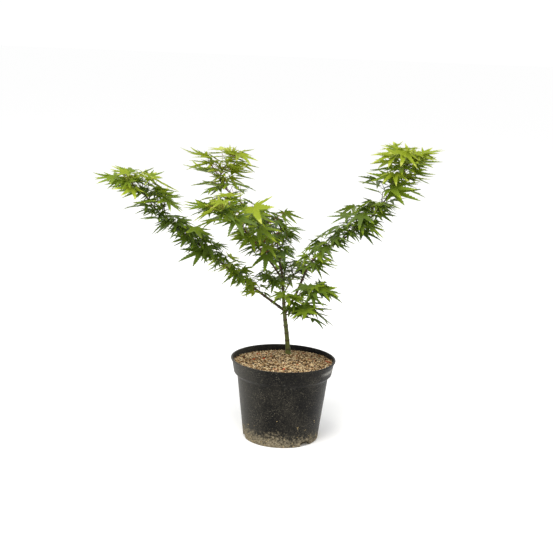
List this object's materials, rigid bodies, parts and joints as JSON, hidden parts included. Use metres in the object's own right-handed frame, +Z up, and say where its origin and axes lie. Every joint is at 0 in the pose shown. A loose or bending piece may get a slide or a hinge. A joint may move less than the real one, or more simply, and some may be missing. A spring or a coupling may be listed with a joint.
{
  "type": "potted japanese maple",
  "caption": "Young maple with a thin trunk, long spreading boughs and palmate leaves, in a round nursery pot filled with mulch.",
  "frame": {"origin": "middle of the pot's flat underside", "axes": "+Z up, +X to the right and -Y towards a viewer who has the long boughs to either side"},
  "size_m": [0.7294, 0.3519, 0.6386],
  "materials": {
    "pot_plastic": "black moulded plastic, satin, with dried soil low on the wall",
    "potting_mix": "moist dark potting mix",
    "bark_mulch": "dry pale chopped bark",
    "trunk_bark": "smooth olive-green young bark with ring scars",
    "bough_bark": "smooth brown-green young bark",
    "young_leaf": "thin lime-green leaves",
    "leaf": "thin mid-green leaves"
  },
  "bodies": {
    "root": {"pot": "pot_plastic", "potting_mix": "potting_mix", "bark_mulch": "bark_mulch", "trunk": "trunk_bark", "leader": "bough_bark", "left_bough": "bough_bark", "right_bough": "bough_bark", "front_bough": "bough_bark", "left_inner_foliage": "leaf", "left_middle_foliage": "leaf", "left_tip_foliage": "young_leaf", "right_inner_foliage": "leaf", "right_middle_foliage": "leaf", "right_tip_foliage": "young_leaf", "top_inner_foliage": "leaf", "top_tip_foliage": "young_leaf", "front_inner_foliage": "young_leaf", "front_tip_foliage": "young_leaf", "low_right_foliage": "leaf", "side_right_foliage": "leaf", "fork_front_foliage": "young_leaf", "fork_left_foliage": "leaf", "fork_back_foliage": "leaf", "back_foliage": "leaf"}
  },
  "joints": []
}
